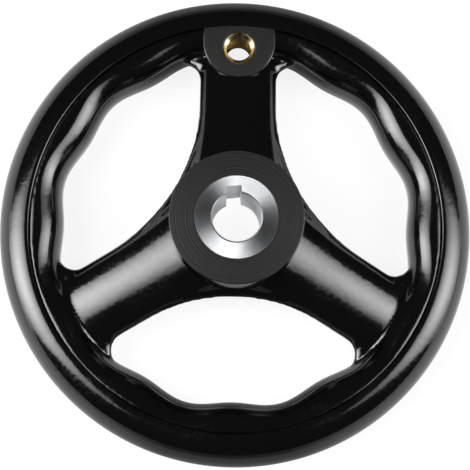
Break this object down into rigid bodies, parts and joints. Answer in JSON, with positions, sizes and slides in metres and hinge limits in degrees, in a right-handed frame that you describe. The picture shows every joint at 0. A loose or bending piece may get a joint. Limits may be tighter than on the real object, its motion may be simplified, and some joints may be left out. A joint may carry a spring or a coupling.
{
  "type": "machine handwheel",
  "caption": "Dished spoked handwheel with a wavy finger-grip rim, a keyed steel bush in the hub and a threaded brass insert for a handle.",
  "frame": {"origin": "on the bore's axis, in the plane that the front of the rim rests on", "axes": "+Z along the bore's axis towards the hub's machine side, +Y from the axis to the spoke that carries the handle's insert"},
  "size_m": [0.16, 0.16, 0.0365],
  "materials": {
    "body": "polished black moulded phenolic plastic",
    "bush": "turned end face, bored hole",
    "insert": "machined"
  },
  "bodies": {
    "root": {"wheel_body": "body", "hub_bush": "bush", "handle_insert": "insert"}
  },
  "joints": []
}
